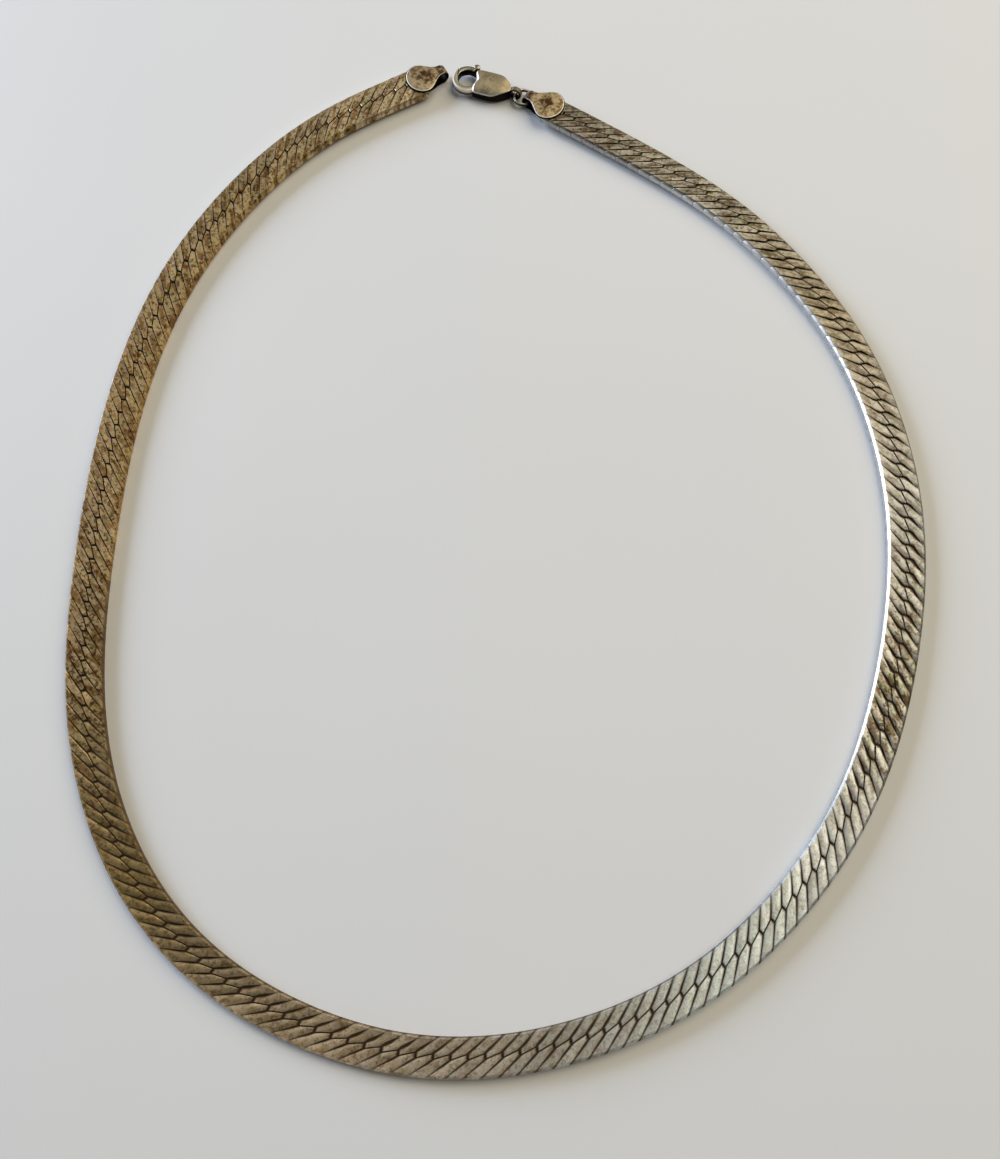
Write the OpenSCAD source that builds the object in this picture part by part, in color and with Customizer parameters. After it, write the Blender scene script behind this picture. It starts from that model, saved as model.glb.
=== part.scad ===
// Herringbone chain necklace, lying open on a surface, in millimetres.
// X runs across the loop, Y from the bottom of the loop to the clasp, Z up from the surface.
// The origin is under the middle of the whole necklace.

/* [Loop] */
// Width of the loop, at the middle of the band
loop_w = 127; // [118:1:140]
// Length of the loop, at the middle of the band
loop_l = 165; // [150:1:180]

/* [Chain] */
// Width of the band across its two rows of scales
band_w = 5.4; // [4.8:0.1:6.6]
// Thickness of the band
band_t = 1.5; // [1.3:0.1:2]
// Distance from one link to the next
link_pitch = 2.33; // [2.1:0.01:2.8]
// Clear gap between neighbouring links
link_gap = 0.16; // [0.12:0.01:0.2]
// Clear gap between a link's upper and lower runs
layer_gap = 0.2; // [0.18:0.01:0.26]
// Angle between the scales and the length of the band, in degrees
scale_angle = 38; // [35:1:42]
// Height of each step in the zigzag between the two rows
step_h = 0.8; // [0.8:0.1:1.2]
// Length over which each end of the band rises into its cap
rise_reach = 80; // [70:1:120]

/* [End caps] */
// Thickness of the folded sheet
sheet_t = 0.35; // [0.3:0.05:0.6]
// Clear gap between the band and the sheet
seat_gap = 0.12; // [0.1:0.01:0.2]
// Width of the rounded pad
pad_w = 6.2; // [5.6:0.1:7.2]
// Width of the neck, where the sheet is folded
neck_w = 2; // [1.4:0.1:2.2]
// Distance from the middle of the fold to the pad's far rim
pad_reach = 6.6; // [6.3:0.1:7.6]
// Width of the tongue that the sheet ends in under the band
tongue_w = 3.2; // [2.4:0.1:4.4]
// Distance from the middle of the fold to the tongue's end
tongue_reach = 5.4; // [4.6:0.1:6.2]
// Distance from the middle of the fold to the end of the band
fold_to_band = 2.4; // [2.2:0.1:2.8]

/* [Jump ring] */
// Radius of the ring at the middle of its wire
ring_r = 1.65; // [1.6:0.05:1.8]
// Diameter of the wire
wire_d = 0.6; // [0.5:0.05:0.65]
// Height of the ring's middle over the surface
ring_z = 0.95; // [0.9:0.01:1]
// Angle at which the clasp's tail lies from the right cap, in degrees
ring_turn = 149; // [145:1:155]

/* [Clasp] */
// Length of the clasp from its eye to the end of its hook
clasp_l = 12; // [11:0.1:12.4]
// Width of the leaf-shaped body
body_w = 5.4; // [4.8:0.1:5.6]
// Thickness of the body at its crown
body_t = 2.4; // [2.3:0.1:2.8]
// Fall of the crown from the middle to the sides of the body
crown = 0.6; // [0.3:0.1:0.8]
// Outer radius of the hook
hook_r = 2.85; // [2.8:0.05:2.95]
// Width of the hook and of the lever, seen from above
hook_band = 1.1; // [1:0.05:1.1]
// Height of the hook's lower face over the surface
hook_low = 0.6; // [0.5:0.05:0.7]
// Height of the hook's upper face over the surface
hook_high = 1.95; // [1.9:0.05:2.05]
// Radius of the hole in the tail
eye_r = 0.8; // [0.75:0.05:0.85]
// Thickness of the tail around its hole
tail_w = 1.1; // [1:0.1:1.3]
// Angle at which the clasp lies, from its eye to its hook, in degrees
clasp_turn = 162.6; // [155:0.1:168]

/* [Clasp lever] */
// Radius of the rivet
pin_r = 0.4; // [0.3:0.02:0.44]
// Clearance of the rivet in the lever
pin_clear = 0.05; // [0.03:0.01:0.08]
// Height of the slot that the lever's root turns in
slot_h = 0.95; // [0.9:0.05:1.05]
// Clear gap round the lever
lever_gap = 0.12; // [0.1:0.01:0.16]
// Radius of the round thumb nub
nub_r = 0.6; // [0.4:0.05:0.7]

/* [Hidden] */
$fn = 64;

// The route of the band's middle as drawn, from the left cap round to the right one.
drawn = [
    [-13, 156.5], [-22, 151.5], [-33.5, 144], [-45, 131.5], [-55.5, 113], [-61.5, 89.5], [-63, 63.5],
    [-61.5, 39], [-53.5, 17.5], [-38, 1], [-13.5, -8.5], [10.5, -6.5], [31, 3],
    [48.5, 21], [59, 44], [64, 72], [59.5, 98], [49, 116.5], [35, 132], [7.5, 150.5]
];
// The drawn route is stretched to the loop's size, and the opening between its two ends keeps its own.
drawn_w = max([for (q = drawn) q.x]) - min([for (q = drawn) q.x]);
drawn_l = max([for (q = drawn) q.y]) - min([for (q = drawn) q.y]);
left_end = drawn[0];
right_end = drawn[len(drawn) - 1];
opening = [right_end.x - left_end.x, left_end.y - right_end.y];
stretch_x = (loop_w - opening.x) / (drawn_w - opening.x);
stretch_y = (loop_l - opening.y) / (drawn_l - opening.y);
route = [
    for (q = drawn)
        [
            q.x + (stretch_x - 1) * (min(0, q.x - left_end.x) + max(0, q.x - right_end.x)),
            q.y + (stretch_y - 1) * min(0, q.y - right_end.y)
        ]
];
// Curve samples between two points of the route
samples_per_span = 24;
// Pitches that one link spans from tip to tip
link_span = 4;
// How far the pillars inside a link stay within its flat runs
pillar_margin = 0.05;
// Depth of a link's side walls
side_wall = 0.45;

silver = [0.74, 0.7, 0.62];
tarnish = [0.62, 0.56, 0.45];
dark_silver = [0.45, 0.43, 0.4];

// Smooth route: a cubic B-spline whose control points are corrected so that it meets the points.
last = len(route) - 1;
function route_or_beyond(i) =
    i < 0 ? 2 * route[0] - route[1] :
    i > last ? 2 * route[last] - route[last - 1] : route[i];
function inner_control(i) =
    route_or_beyond(i) - (route_or_beyond(i - 1) - 2 * route_or_beyond(i) + route_or_beyond(i + 1)) / 6;
function control(i) =
    i < 0 ? 2 * inner_control(0) - inner_control(1) :
    i > last ? 2 * inner_control(last) - inner_control(last - 1) : inner_control(i);
function spline(i, t) = (
    pow(1 - t, 3) * control(i - 1)
    + (3 * pow(t, 3) - 6 * pow(t, 2) + 4) * control(i)
    + (-3 * pow(t, 3) + 3 * pow(t, 2) + 3 * t + 1) * control(i + 1)
    + pow(t, 3) * control(i + 2)) / 6;
samples = [
    for (i = [0:last - 1]) for (k = [0:samples_per_span - 1]) spline(i, k / samples_per_span),
    route[last]
];
steps = [for (i = [1:len(samples) - 1]) norm(samples[i] - samples[i - 1])];
run = [
    for (i = 0, d = 0; i < len(samples); d = d + (i < len(steps) ? steps[i] : 0), i = i + 1)
        d
];
x_table = [for (i = [0:len(samples) - 1]) [run[i], samples[i].x]];
y_table = [for (i = [0:len(samples) - 1]) [run[i], samples[i].y]];
route_l = run[len(run) - 1];

// A point at distance s along the band, the direction there, and the side that faces the neck.
function along(s) = [lookup(s, x_table), lookup(s, y_table)];
function unit(v) = v / norm(v);
function ahead(s) = unit(along(min(s + 0.5, route_l)) - along(max(s - 0.5, 0)));
function inward(s) = [-ahead(s).y, ahead(s).x];
function bent(s, q) = along(s + q.x) + q.y * inward(s + q.x);
function turn(v) = atan2(v.y, v.x);

// Links, evenly spaced so that the first and last tips end the band.
links = round(route_l / link_pitch) - link_span + 1;
pitch = route_l / (links - 1 + link_span);
tip_x = link_span * pitch / 2;
half_w = band_w / 2;
run_t = (band_t - layer_gap) / 2;
edge_shift = tip_x - pitch / 2 - (half_w - step_h / 2) / tan(scale_angle);

function meet(p, d, q, e) = p + d * cross(q - p, e) / cross(d, e);
// Moves each side of a polygon inwards by its own margin.
function shrink(points, margins) =
    let (n = len(points),
         dirs = [for (i = [0:n - 1]) unit(points[(i + 1) % n] - points[i])],
         starts = [for (i = [0:n - 1]) points[i] + margins[i] * [-dirs[i].y, dirs[i].x]])
    [for (i = [0:n - 1])
        let (j = (i + n - 1) % n)
        meet(starts[j], dirs[j], starts[i], dirs[i])];

// Outline of one flat run of a link, from the outer edge to the tip on the middle line.
function scale_outline(shift) = shrink(
    [
        [shift - pitch / 2, -half_w], [shift + pitch / 2, -half_w],
        [tip_x, -step_h / 2], [tip_x, step_h / 2], [tip_x - pitch, -step_h / 2]
    ],
    [0, link_gap / 2, link_gap / 2, link_gap / 2, link_gap / 2]);
upper_scale = scale_outline(edge_shift);
lower_scale = scale_outline(-edge_shift);

// Pillar at the tip, as steep as the zigzag on both sides.
zigzag = step_h / pitch;
tip_base = link_gap / 2 + pillar_margin;
tip_room = step_h / 2 - link_gap / 2 * sqrt(1 + zigzag * zigzag) - pillar_margin;
tip_pillar = [
    [tip_x - tip_base, -tip_room + zigzag * tip_base],
    [tip_x - tip_base, tip_room - zigzag * tip_base],
    [tip_x - tip_room / zigzag, 0]
];
// Wall at the outer edge, narrowing inwards with the crossing runs.
upper_run = tip_x - pitch / 2 - edge_shift;
lower_run = tip_x - pitch / 2 + edge_shift;
scale_rise = half_w - step_h / 2;
edge_inset = link_gap / 2 * norm([max(upper_run, lower_run), scale_rise]) / scale_rise + 2 * pillar_margin;
wall_half = pitch / 2 - edge_inset;
edge_wall = [
    [edge_shift - wall_half, pillar_margin - half_w],
    [edge_shift + wall_half, pillar_margin - half_w],
    [edge_shift + wall_half - side_wall * lower_run / scale_rise, side_wall - half_w],
    [edge_shift - wall_half + side_wall * upper_run / scale_rise, side_wall - half_w]
];
function half_turn(points) = [for (q = points) -q];
function flip_y(points) = [for (q = points) [q.x, -q.y]];
function flip_x(points) = [for (q = points) [-q.x, q.y]];

// Height of a link over the surface: the band rises at both ends to lie between the sheets.
cap_lift = sheet_t + seat_gap;
function smooth(t) = t * t * (3 - 2 * t);
function lift(s) = cap_lift * smooth(max(0, 1 - min(s, route_l - s) / rise_reach));
function station(i) = tip_x + i * pitch;

module slab(s, outline, z0, z1) {
    translate([0, 0, z0])
        linear_extrude(z1 - z0)
            polygon([for (q = outline) bent(s, q)]);
}

// One closed link: two flat runs above, two below, joined at both edges and both tips.
module link(i) {
    s = station(i);
    translate([0, 0, lift(s)]) {
        slab(s, upper_scale, band_t - run_t, band_t);
        slab(s, half_turn(upper_scale), band_t - run_t, band_t);
        slab(s, flip_y(lower_scale), 0, run_t);
        slab(s, flip_x(lower_scale), 0, run_t);
        for (pillar = [tip_pillar, half_turn(tip_pillar), edge_wall, half_turn(edge_wall)])
            slab(s, pillar, run_t / 2, band_t - run_t / 2);
    }
}

// End cap sizes, in the cap's own frame: X from the middle of the fold towards the band.
cap_h = 2 * sheet_t + 2 * seat_gap + band_t;
fold_r = cap_h / 2;
tab_steps = 14;
// Half width of a leaf of the sheet: the neck, a smooth flare, and a half ellipse at the end.
function tab_half(x, reach, w) =
    let (round_l = 0.42 * reach, mid = reach - round_l, flare_start = 0.03 * reach)
    x < mid
        ? neck_w / 2 + (w - neck_w) / 2 * smooth(max(0, (x - flare_start) / (mid - flare_start)))
        : w / 2 * sqrt(max(0, 1 - pow((x - mid) / round_l, 2)));
// Stations along the leaf are closer together towards its rim.
function tab_outline(reach, w) =
    let (xs = [for (k = [0:tab_steps]) reach * sin(90 * k / tab_steps)])
    concat(
        [for (x = xs) [x, -tab_half(x, reach, w)]],
        [for (k = [tab_steps - 1:-1:0]) [xs[k], tab_half(xs[k], reach, w)]]);

// Folded sheet with the eye at its fold, the pad above and the tongue below,
// and the solder that holds the band's last link.
module folded_tab() {
    solder_w = 0.85 * neck_w;
    solder_l = 1.2;
    difference() {
        union() {
            translate([0, 0, cap_h - sheet_t])
                linear_extrude(sheet_t)
                    polygon(tab_outline(pad_reach, pad_w));
            linear_extrude(sheet_t)
                polygon(tab_outline(tongue_reach, tongue_w));
            translate([0, 0, fold_r])
                rotate([90, 0, 0])
                    cylinder(r = fold_r, h = neck_w, center = true);
            translate([fold_to_band - solder_l / 2, -solder_w / 2, sheet_t / 2])
                cube([solder_l, solder_w, cap_h - sheet_t]);
        }
        translate([0, 0, fold_r])
            rotate([90, 0, 0])
                cylinder(r = fold_r - sheet_t, h = 2 * neck_w, center = true);
    }
}

module cap_at(s, angle) {
    translate(along(s))
        rotate(angle)
            translate([-fold_to_band, 0, 0])
                folded_tab();
}

// Where the right cap's fold, the jump ring and the clasp's eye lie, the ring centred in each hole.
right_turn = turn(-ahead(route_l));
right_fold = along(route_l) - fold_to_band * [cos(right_turn), sin(right_turn)];
function ring_reach(hole_l) = (ring_r + sqrt(pow(ring_r, 2) - pow(hole_l / 2, 2))) / 2;
ring_way = [cos(ring_turn), sin(ring_turn)];
ring_at = right_fold + ring_reach(neck_w) * ring_way;
eye_at = ring_at + ring_reach(tail_w) * ring_way;

// Clasp sizes, in the clasp's own frame: X from the eye towards the hook, the lever at -Y.
hook_x = clasp_l - hook_r;
hook_in = hook_r - hook_band;
eye_z = body_t / 2 - 0.05;
pivot = [hook_x - 2.3, -1.7];
knuckle_r = 1.15;
thick_from = knuckle_r + lever_gap;
// Radius about the pivot where the lever's tip laps inside the hook's tip
lap_turn = -24;
// Angles about the hook's middle where the hook starts on the body and where the lever's bar starts and ends
hook_turn = 138;
lever_from = -108;
lever_to = 22;
lever_inset = 0.1;
lap_mid = hook_r - hook_band / 2;
lap_r = norm([hook_x + lap_mid * cos(lap_turn), lap_mid * sin(lap_turn)] - pivot);
slot_z = (hook_low + hook_high) / 2 - slot_h / 2 - 0.2;
nub_at = [hook_x - 0.75, -hook_r - 0.2];
leaf_start = 0.9;
leaf_end = hook_x - 1.4;
leaf_steps = 16;
leaf_full = leaf_start + 0.52 * (leaf_end - leaf_start);
function leaf_half(x) =
    tail_w / 2
    + (body_w - tail_w) / 2 * pow(sin(90 * min(1, (x - leaf_start) / (leaf_full - leaf_start))), 0.9);
leaf_x = [for (k = [0:leaf_steps]) leaf_start + (leaf_end - leaf_start) * k / leaf_steps];
leaf_outline = concat(
    [for (x = leaf_x) [x, -leaf_half(x)]],
    [for (k = [leaf_steps:-1:0]) [leaf_x[k], leaf_half(leaf_x[k])]]);

// Bar of the hook or lever: chamfered section swept round the hook's middle.
module ring_bar(r_in, r_out, z_low, z_high, chamfer, from, to) {
    translate([hook_x, 0, 0])
        rotate(from)
            rotate_extrude(angle = to - from)
                polygon([
                    [r_in + chamfer, z_low], [r_out - chamfer, z_low],
                    [r_out, z_low + chamfer], [r_out, z_high - chamfer],
                    [r_out - chamfer, z_high], [r_in + chamfer, z_high],
                    [r_in, z_high - chamfer], [r_in, z_low + chamfer]
                ]);
}

module lengthwise_roll(z, r) {
    translate([leaf_start - 1, 0, z])
        rotate([0, 90, 0])
            cylinder(r = r, h = leaf_end - leaf_start + 2, $fn = 128);
}

// Leaf-shaped block with a crown above and a flatter one below.
module crowned_leaf() {
    top_r = (pow(body_w / 2, 2) + crown * crown) / (2 * crown);
    under_r = (pow(body_w / 2, 2) + pow(0.7 * crown, 2)) / (1.4 * crown);
    intersection() {
        linear_extrude(body_t)
            polygon(leaf_outline);
        lengthwise_roll(body_t - top_r, top_r);
        lengthwise_roll(under_r, under_r);
    }
}

module tail() {
    translate([0, 0, eye_z])
        rotate([90, 0, 0])
            cylinder(r = eye_z, h = tail_w, center = true);
    translate([0, -tail_w / 2, 0])
        cube([leaf_start + 0.6, tail_w, 2 * eye_z - 0.3]);
}

module hook_solid() {
    difference() {
        ring_bar(hook_in, hook_r, hook_low, hook_high, 0.35, lap_turn, hook_turn);
        intersection() {
            translate([pivot.x, pivot.y, -1])
                cylinder(r = lap_r + lever_gap / 2, h = body_t + 2, $fn = 128);
            translate([hook_x + 1, -hook_r, -1])
                cube([hook_r, 2 * hook_r, body_t + 2]);
        }
    }
}

module clasp_frame() {
    difference() {
        union() {
            difference() {
                crowned_leaf();
                translate([hook_x, 0, -1])
                    cylinder(r = hook_in, h = body_t + 2);
                difference() {
                    translate([pivot.x, -hook_r - 1, -1])
                        cube([hook_r, hook_r + 0.5, body_t + 2]);
                    translate([pivot.x, pivot.y, -2])
                        cylinder(r = knuckle_r, h = body_t + 4);
                }
            }
            hook_solid();
            tail();
        }
        translate([0, 0, eye_z])
            rotate([90, 0, 0])
                cylinder(r = eye_r, h = 2 * tail_w, center = true);
        translate([pivot.x - knuckle_r, -hook_r - 1, slot_z])
            cube([hook_x + 0.2 - pivot.x + knuckle_r, hook_r + 1.2, slot_h]);
        translate([pivot.x, pivot.y, -1])
            cylinder(r = pin_r + 0.02, h = body_t + 2);
    }
}

module lever_solid() {
    root_h = slot_h - 2 * lever_gap;
    root_w = 1.1;
    reach = 2;
    difference() {
        union() {
            difference() {
                intersection() {
                    ring_bar(
                        hook_in + lever_inset, hook_r, hook_low - lever_inset, hook_high,
                        0.25, lever_from, lever_to);
                    translate([pivot.x, pivot.y, -1])
                        cylinder(r = lap_r - lever_gap / 2, h = body_t + 2, $fn = 128);
                }
                translate([pivot.x, pivot.y, -1])
                    cylinder(r = thick_from, h = body_t + 2);
            }
            translate([pivot.x, pivot.y, slot_z + lever_gap])
                cylinder(r = 0.85, h = root_h);
            translate([pivot.x, pivot.y, slot_z + lever_gap])
                rotate(-20)
                    translate([0, -root_w / 2, 0])
                        cube([reach, root_w, root_h]);
            translate([nub_at.x, nub_at.y, hook_low])
                cylinder(r = nub_r, h = 1.25);
        }
        translate([pivot.x, pivot.y, -1])
            cylinder(r = pin_r + pin_clear, h = body_t + 2);
    }
}

module clasp_place() {
    translate(eye_at)
        rotate(clasp_turn)
            children();
}

// The whole necklace is moved so that the origin is under its middle.
outer_edge = [for (s = run) bent(s, [0, -half_w])];
nub_top = eye_at.y + nub_at.x * sin(clasp_turn) + nub_at.y * cos(clasp_turn) + nub_r;
middle = [
    (min([for (q = outer_edge) q.x]) + max([for (q = outer_edge) q.x])) / 2,
    (min([for (q = outer_edge) q.y]) + nub_top) / 2
];
module centred() {
    translate([-middle.x, -middle.y, 0])
        children();
}

module chain() {
    color(silver)
        centred()
            for (i = [1:links - 2])
                link(i);
}

module end_cap_left() {
    color(tarnish)
        centred() {
            cap_at(0, turn(ahead(0)));
            link(0);
        }
}

module end_cap_right() {
    color(tarnish)
        centred() {
            cap_at(route_l, right_turn);
            link(links - 1);
        }
}

module jump_ring() {
    color(dark_silver)
        centred()
            translate([ring_at.x, ring_at.y, ring_z])
                rotate_extrude()
                    translate([ring_r, 0])
                        circle(d = wire_d, $fn = 32);
}

module clasp_body() {
    color(silver)
        centred()
            clasp_place()
                clasp_frame();
}

module clasp_lever() {
    color(dark_silver)
        centred()
            clasp_place()
                lever_solid();
}

module lever_pin() {
    color(dark_silver)
        centred()
            clasp_place()
                translate([pivot.x, pivot.y, 0.05])
                    cylinder(r = pin_r, h = body_t - 0.7 * crown - 0.05);
}

chain();
end_cap_left();
end_cap_right();
jump_ring();
clasp_body();
clasp_lever();
lever_pin();
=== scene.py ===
# Tarnished silver herringbone chain, lying open on a pale table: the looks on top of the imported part.
import math
import bpy
import numpy as np
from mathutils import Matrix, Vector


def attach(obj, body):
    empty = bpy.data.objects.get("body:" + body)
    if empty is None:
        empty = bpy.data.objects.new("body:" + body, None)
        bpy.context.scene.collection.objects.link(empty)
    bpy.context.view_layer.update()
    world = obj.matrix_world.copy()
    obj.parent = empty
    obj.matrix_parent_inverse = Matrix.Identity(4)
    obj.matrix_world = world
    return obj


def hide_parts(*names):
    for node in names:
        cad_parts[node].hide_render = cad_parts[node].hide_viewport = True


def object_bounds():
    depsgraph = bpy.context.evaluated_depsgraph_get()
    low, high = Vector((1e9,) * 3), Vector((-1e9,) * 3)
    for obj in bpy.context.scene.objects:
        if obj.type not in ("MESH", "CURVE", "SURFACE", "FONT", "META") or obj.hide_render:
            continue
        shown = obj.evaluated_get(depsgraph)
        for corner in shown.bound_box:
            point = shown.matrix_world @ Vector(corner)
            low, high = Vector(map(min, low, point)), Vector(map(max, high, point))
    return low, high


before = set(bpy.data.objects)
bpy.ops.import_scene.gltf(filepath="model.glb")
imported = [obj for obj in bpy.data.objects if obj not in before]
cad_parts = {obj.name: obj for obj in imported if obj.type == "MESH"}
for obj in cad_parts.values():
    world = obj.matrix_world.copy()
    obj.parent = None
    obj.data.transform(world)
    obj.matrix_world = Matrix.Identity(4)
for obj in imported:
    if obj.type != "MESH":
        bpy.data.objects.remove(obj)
cadBox = [list(corner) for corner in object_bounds()]
mm = 0.001


def hexToLinear(text):
    # sRGB hex to linear light: below 0.04045 divide by 12.92, above it ((c + 0.055) / 1.055) ^ 2.4
    channels = np.array([int(text[i:i + 2], 16) for i in (1, 3, 5)]) / 255
    linear = np.where(channels <= 0.04045, channels / 12.92, ((channels + 0.055) / 1.055) ** 2.4)
    return (*linear.tolist(), 1.0)


def smoothStep(t):
    # three times the square less twice the cube, held between 0 and 1
    t = np.clip(t, 0, 1)
    return t * t * (3 - 2 * t)


def circle(radius, start=0, end=360, steps=24, closed=True):
    # radius times (cos, sin) at even angles in degrees, the last one left out where the circle closes
    a = np.radians(np.linspace(start, end, steps, endpoint=not closed))
    return np.stack([np.cos(a), np.sin(a)], -1) * radius


def wayAt(turn):
    # the direction at an angle in degrees, as a unit vector
    return circle(1, turn, turn, 1, False)[0]


def gridFaces(rows, columns, closeRows=False, closeColumns=False, capEnds=False):
    # quads between neighbouring rows and columns of a grid of points, row after row
    r = np.arange(rows if closeRows else rows - 1)
    c = np.arange(columns if closeColumns else columns - 1)
    a, b = np.meshgrid(r, c, indexing="ij")
    a2, b2 = (a + 1) % rows, (b + 1) % columns
    quads = np.stack([a * columns + b, a * columns + b2, a2 * columns + b2, a2 * columns + b], -1)
    faces = quads.reshape(-1, 4).tolist()
    if capEnds:
        faces.append(list(range(columns))[::-1])
        faces.append(list(range((rows - 1) * columns, rows * columns)))
    return faces


def shellVolume(points, faces):
    # a sixth of the sum of the triple products of each face's fan of triangles
    fans = np.array([(face[0], face[i], face[i + 1]) for face in faces for i in range(1, len(face) - 1)])
    a, b, c = points[fans[:, 0]], points[fans[:, 1]], points[fans[:, 2]]
    return float(np.einsum("ij,ij->i", a, np.cross(b, c)).sum() / 6)


def closedShell(points, rubbedAndHighlit=0.0, sootAndShade=0.0, rust=0.0, closeRows=False):
    # a tube or a lens: rows of points that close on themselves, marked for rubbed metal with painted
    # highlights, for soot with painted shade, and for rust
    rows, columns = points.shape[:2]
    marks = {"rubbedAndHighlit": rubbedAndHighlit, "sootAndShade": sootAndShade, "rust": rust}
    return {
        "points": points.reshape(-1, 3),
        "faces": gridFaces(rows, columns, closeRows=closeRows, closeColumns=True, capEnds=not closeRows),
        "marks": {key: np.broadcast_to(mark, (rows, columns)).reshape(-1) for key, mark in marks.items()}}


def meshPiece(name, shells, material, body, sharpAngle):
    # closed shells, in metres, joined into one object: faces outwards, smooth up to an angle in degrees
    faces, start = [], 0
    for shell in shells:
        shellFaces = shell["faces"]
        if shellVolume(shell["points"], shellFaces) < 0:
            shellFaces = [face[::-1] for face in shellFaces]
        faces += [[index + start for index in face] for face in shellFaces]
        start += len(shell["points"])
    mesh = bpy.data.meshes.new(name)
    mesh.from_pydata(np.concatenate([shell["points"] for shell in shells]).tolist(), [], faces)
    mesh.polygons.foreach_set("use_smooth", np.ones(len(faces), bool))
    mesh.set_sharp_from_angle(angle=math.radians(sharpAngle))
    for key in shells[0]["marks"]:
        values = np.concatenate([shell["marks"][key] for shell in shells]).astype(np.float32)
        mesh.attributes.new(key, "FLOAT", "POINT").data.foreach_set("value", values)
    mesh.materials.append(material)
    mesh.update()
    piece = bpy.data.objects.new(name, mesh)
    bpy.context.scene.collection.objects.link(piece)
    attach(piece, body)
    return piece


def addNode(tree, kind, settings=None, links=None, **values):
    # one node: attributes from settings, socket values by name, links from sockets of other nodes
    node = tree.nodes.new(kind)
    for key, value in (settings or {}).items():
        setattr(node, key, value)
    for key, value in values.items():
        node.inputs[key].default_value = value
    for key, source in (links or {}).items():
        tree.links.new(source, node.inputs[key])
    return node


def startMaterial(name):
    # a new material, its node tree and shader, and the piece's own coordinates
    material = bpy.data.materials.new(name)
    material.use_nodes = True
    tree = material.node_tree
    coords = addNode(tree, "ShaderNodeTexCoord").outputs["Object"]
    return material, tree, tree.nodes["Principled BSDF"], coords


def noiseScale(size):
    # the scale of a noise on coordinates in metres whose blots are that many mm wide: one over the size
    return 1 / (size * mm)


# settings that several nodes share
smoothRamp = {"interpolation_type": "SMOOTHSTEP"}
colourMix = {"data_type": "RGBA"}
tintMix = {"data_type": "RGBA", "blend_type": "MULTIPLY"}

chain = {
    "thick": 1.5,          # mm
    "pitchWish": 2.33,     # mm from one link to the next, evened out over the length
    "linkSpan": 4,         # pitches from tip to tip of one link
    "stepHeight": 0.75,    # mm, the step of the zigzag
    "tipShort": 0.2,       # mm that a scale's tip stays short of the step's end
    "midway": 0.95,        # mm from the middle line to the place where a scale bows most
    "underReach": 0.3,     # mm that the lower run goes past the middle line
    "joint": 0.1,          # mm, gap between neighbouring scales
    "gapSpread": (0.6, 1.4),    # how widely the gapes vary from joint to joint
    "stepJoint": 0.26,     # mm, the wider gap of the zigzag's short strokes
    "tipJoint": 0.30,      # mm, half of the gap beside a scale's tip
    "cornerJoint": 0.08,   # mm that half of the gap grows by at its corner
    # mm, half of the gap at the foot of the bevel, the foot of the wall, underneath, and at the lower
    # run's end
    "sideJoints": (0.015, 0.015, 0.12, 0.15),
    "metal": 0.55,         # mm, thickness of one run of a link
    "bevel": 0.38,         # mm that the top falls at each side of the band
    "wallFoot": 0.3,       # mm above the table where the side turns under
    "tilt": 0.016,         # mm, how far the scales lie out of flat
    "toneSpread": (0.86, 1.12),    # the lightness of the darkest and the palest scale
    "lean": 40,            # degrees between the band and the scales, for what wear draws out along them
    "riseReach": 80,       # mm over which the ends rise into their caps
    "capLift": 0.47,       # mm that they rise
    "endMargin": 1.7,      # mm that the scales stop short of the band's ends, hidden by the caps' pads
    "seed": 7,
}
# the band's middle, metres, from the left cap round to the right one, as in the part's source
route = np.array([
    (-0.013, 0.1565), (-0.022, 0.1515), (-0.0335, 0.144), (-0.045, 0.1315), (-0.0555, 0.113),
    (-0.0615, 0.0895), (-0.063, 0.0635), (-0.0615, 0.039), (-0.0535, 0.0175), (-0.038, 0.001),
    (-0.0135, -0.0085), (0.0105, -0.0065), (0.031, 0.003), (0.0485, 0.021), (0.059, 0.044),
    (0.064, 0.072), (0.0595, 0.098), (0.049, 0.1165), (0.035, 0.132), (0.0075, 0.1505)]) / mm
outerEdge = 2.7   # mm, from the band's middle to the part's own edge

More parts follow.
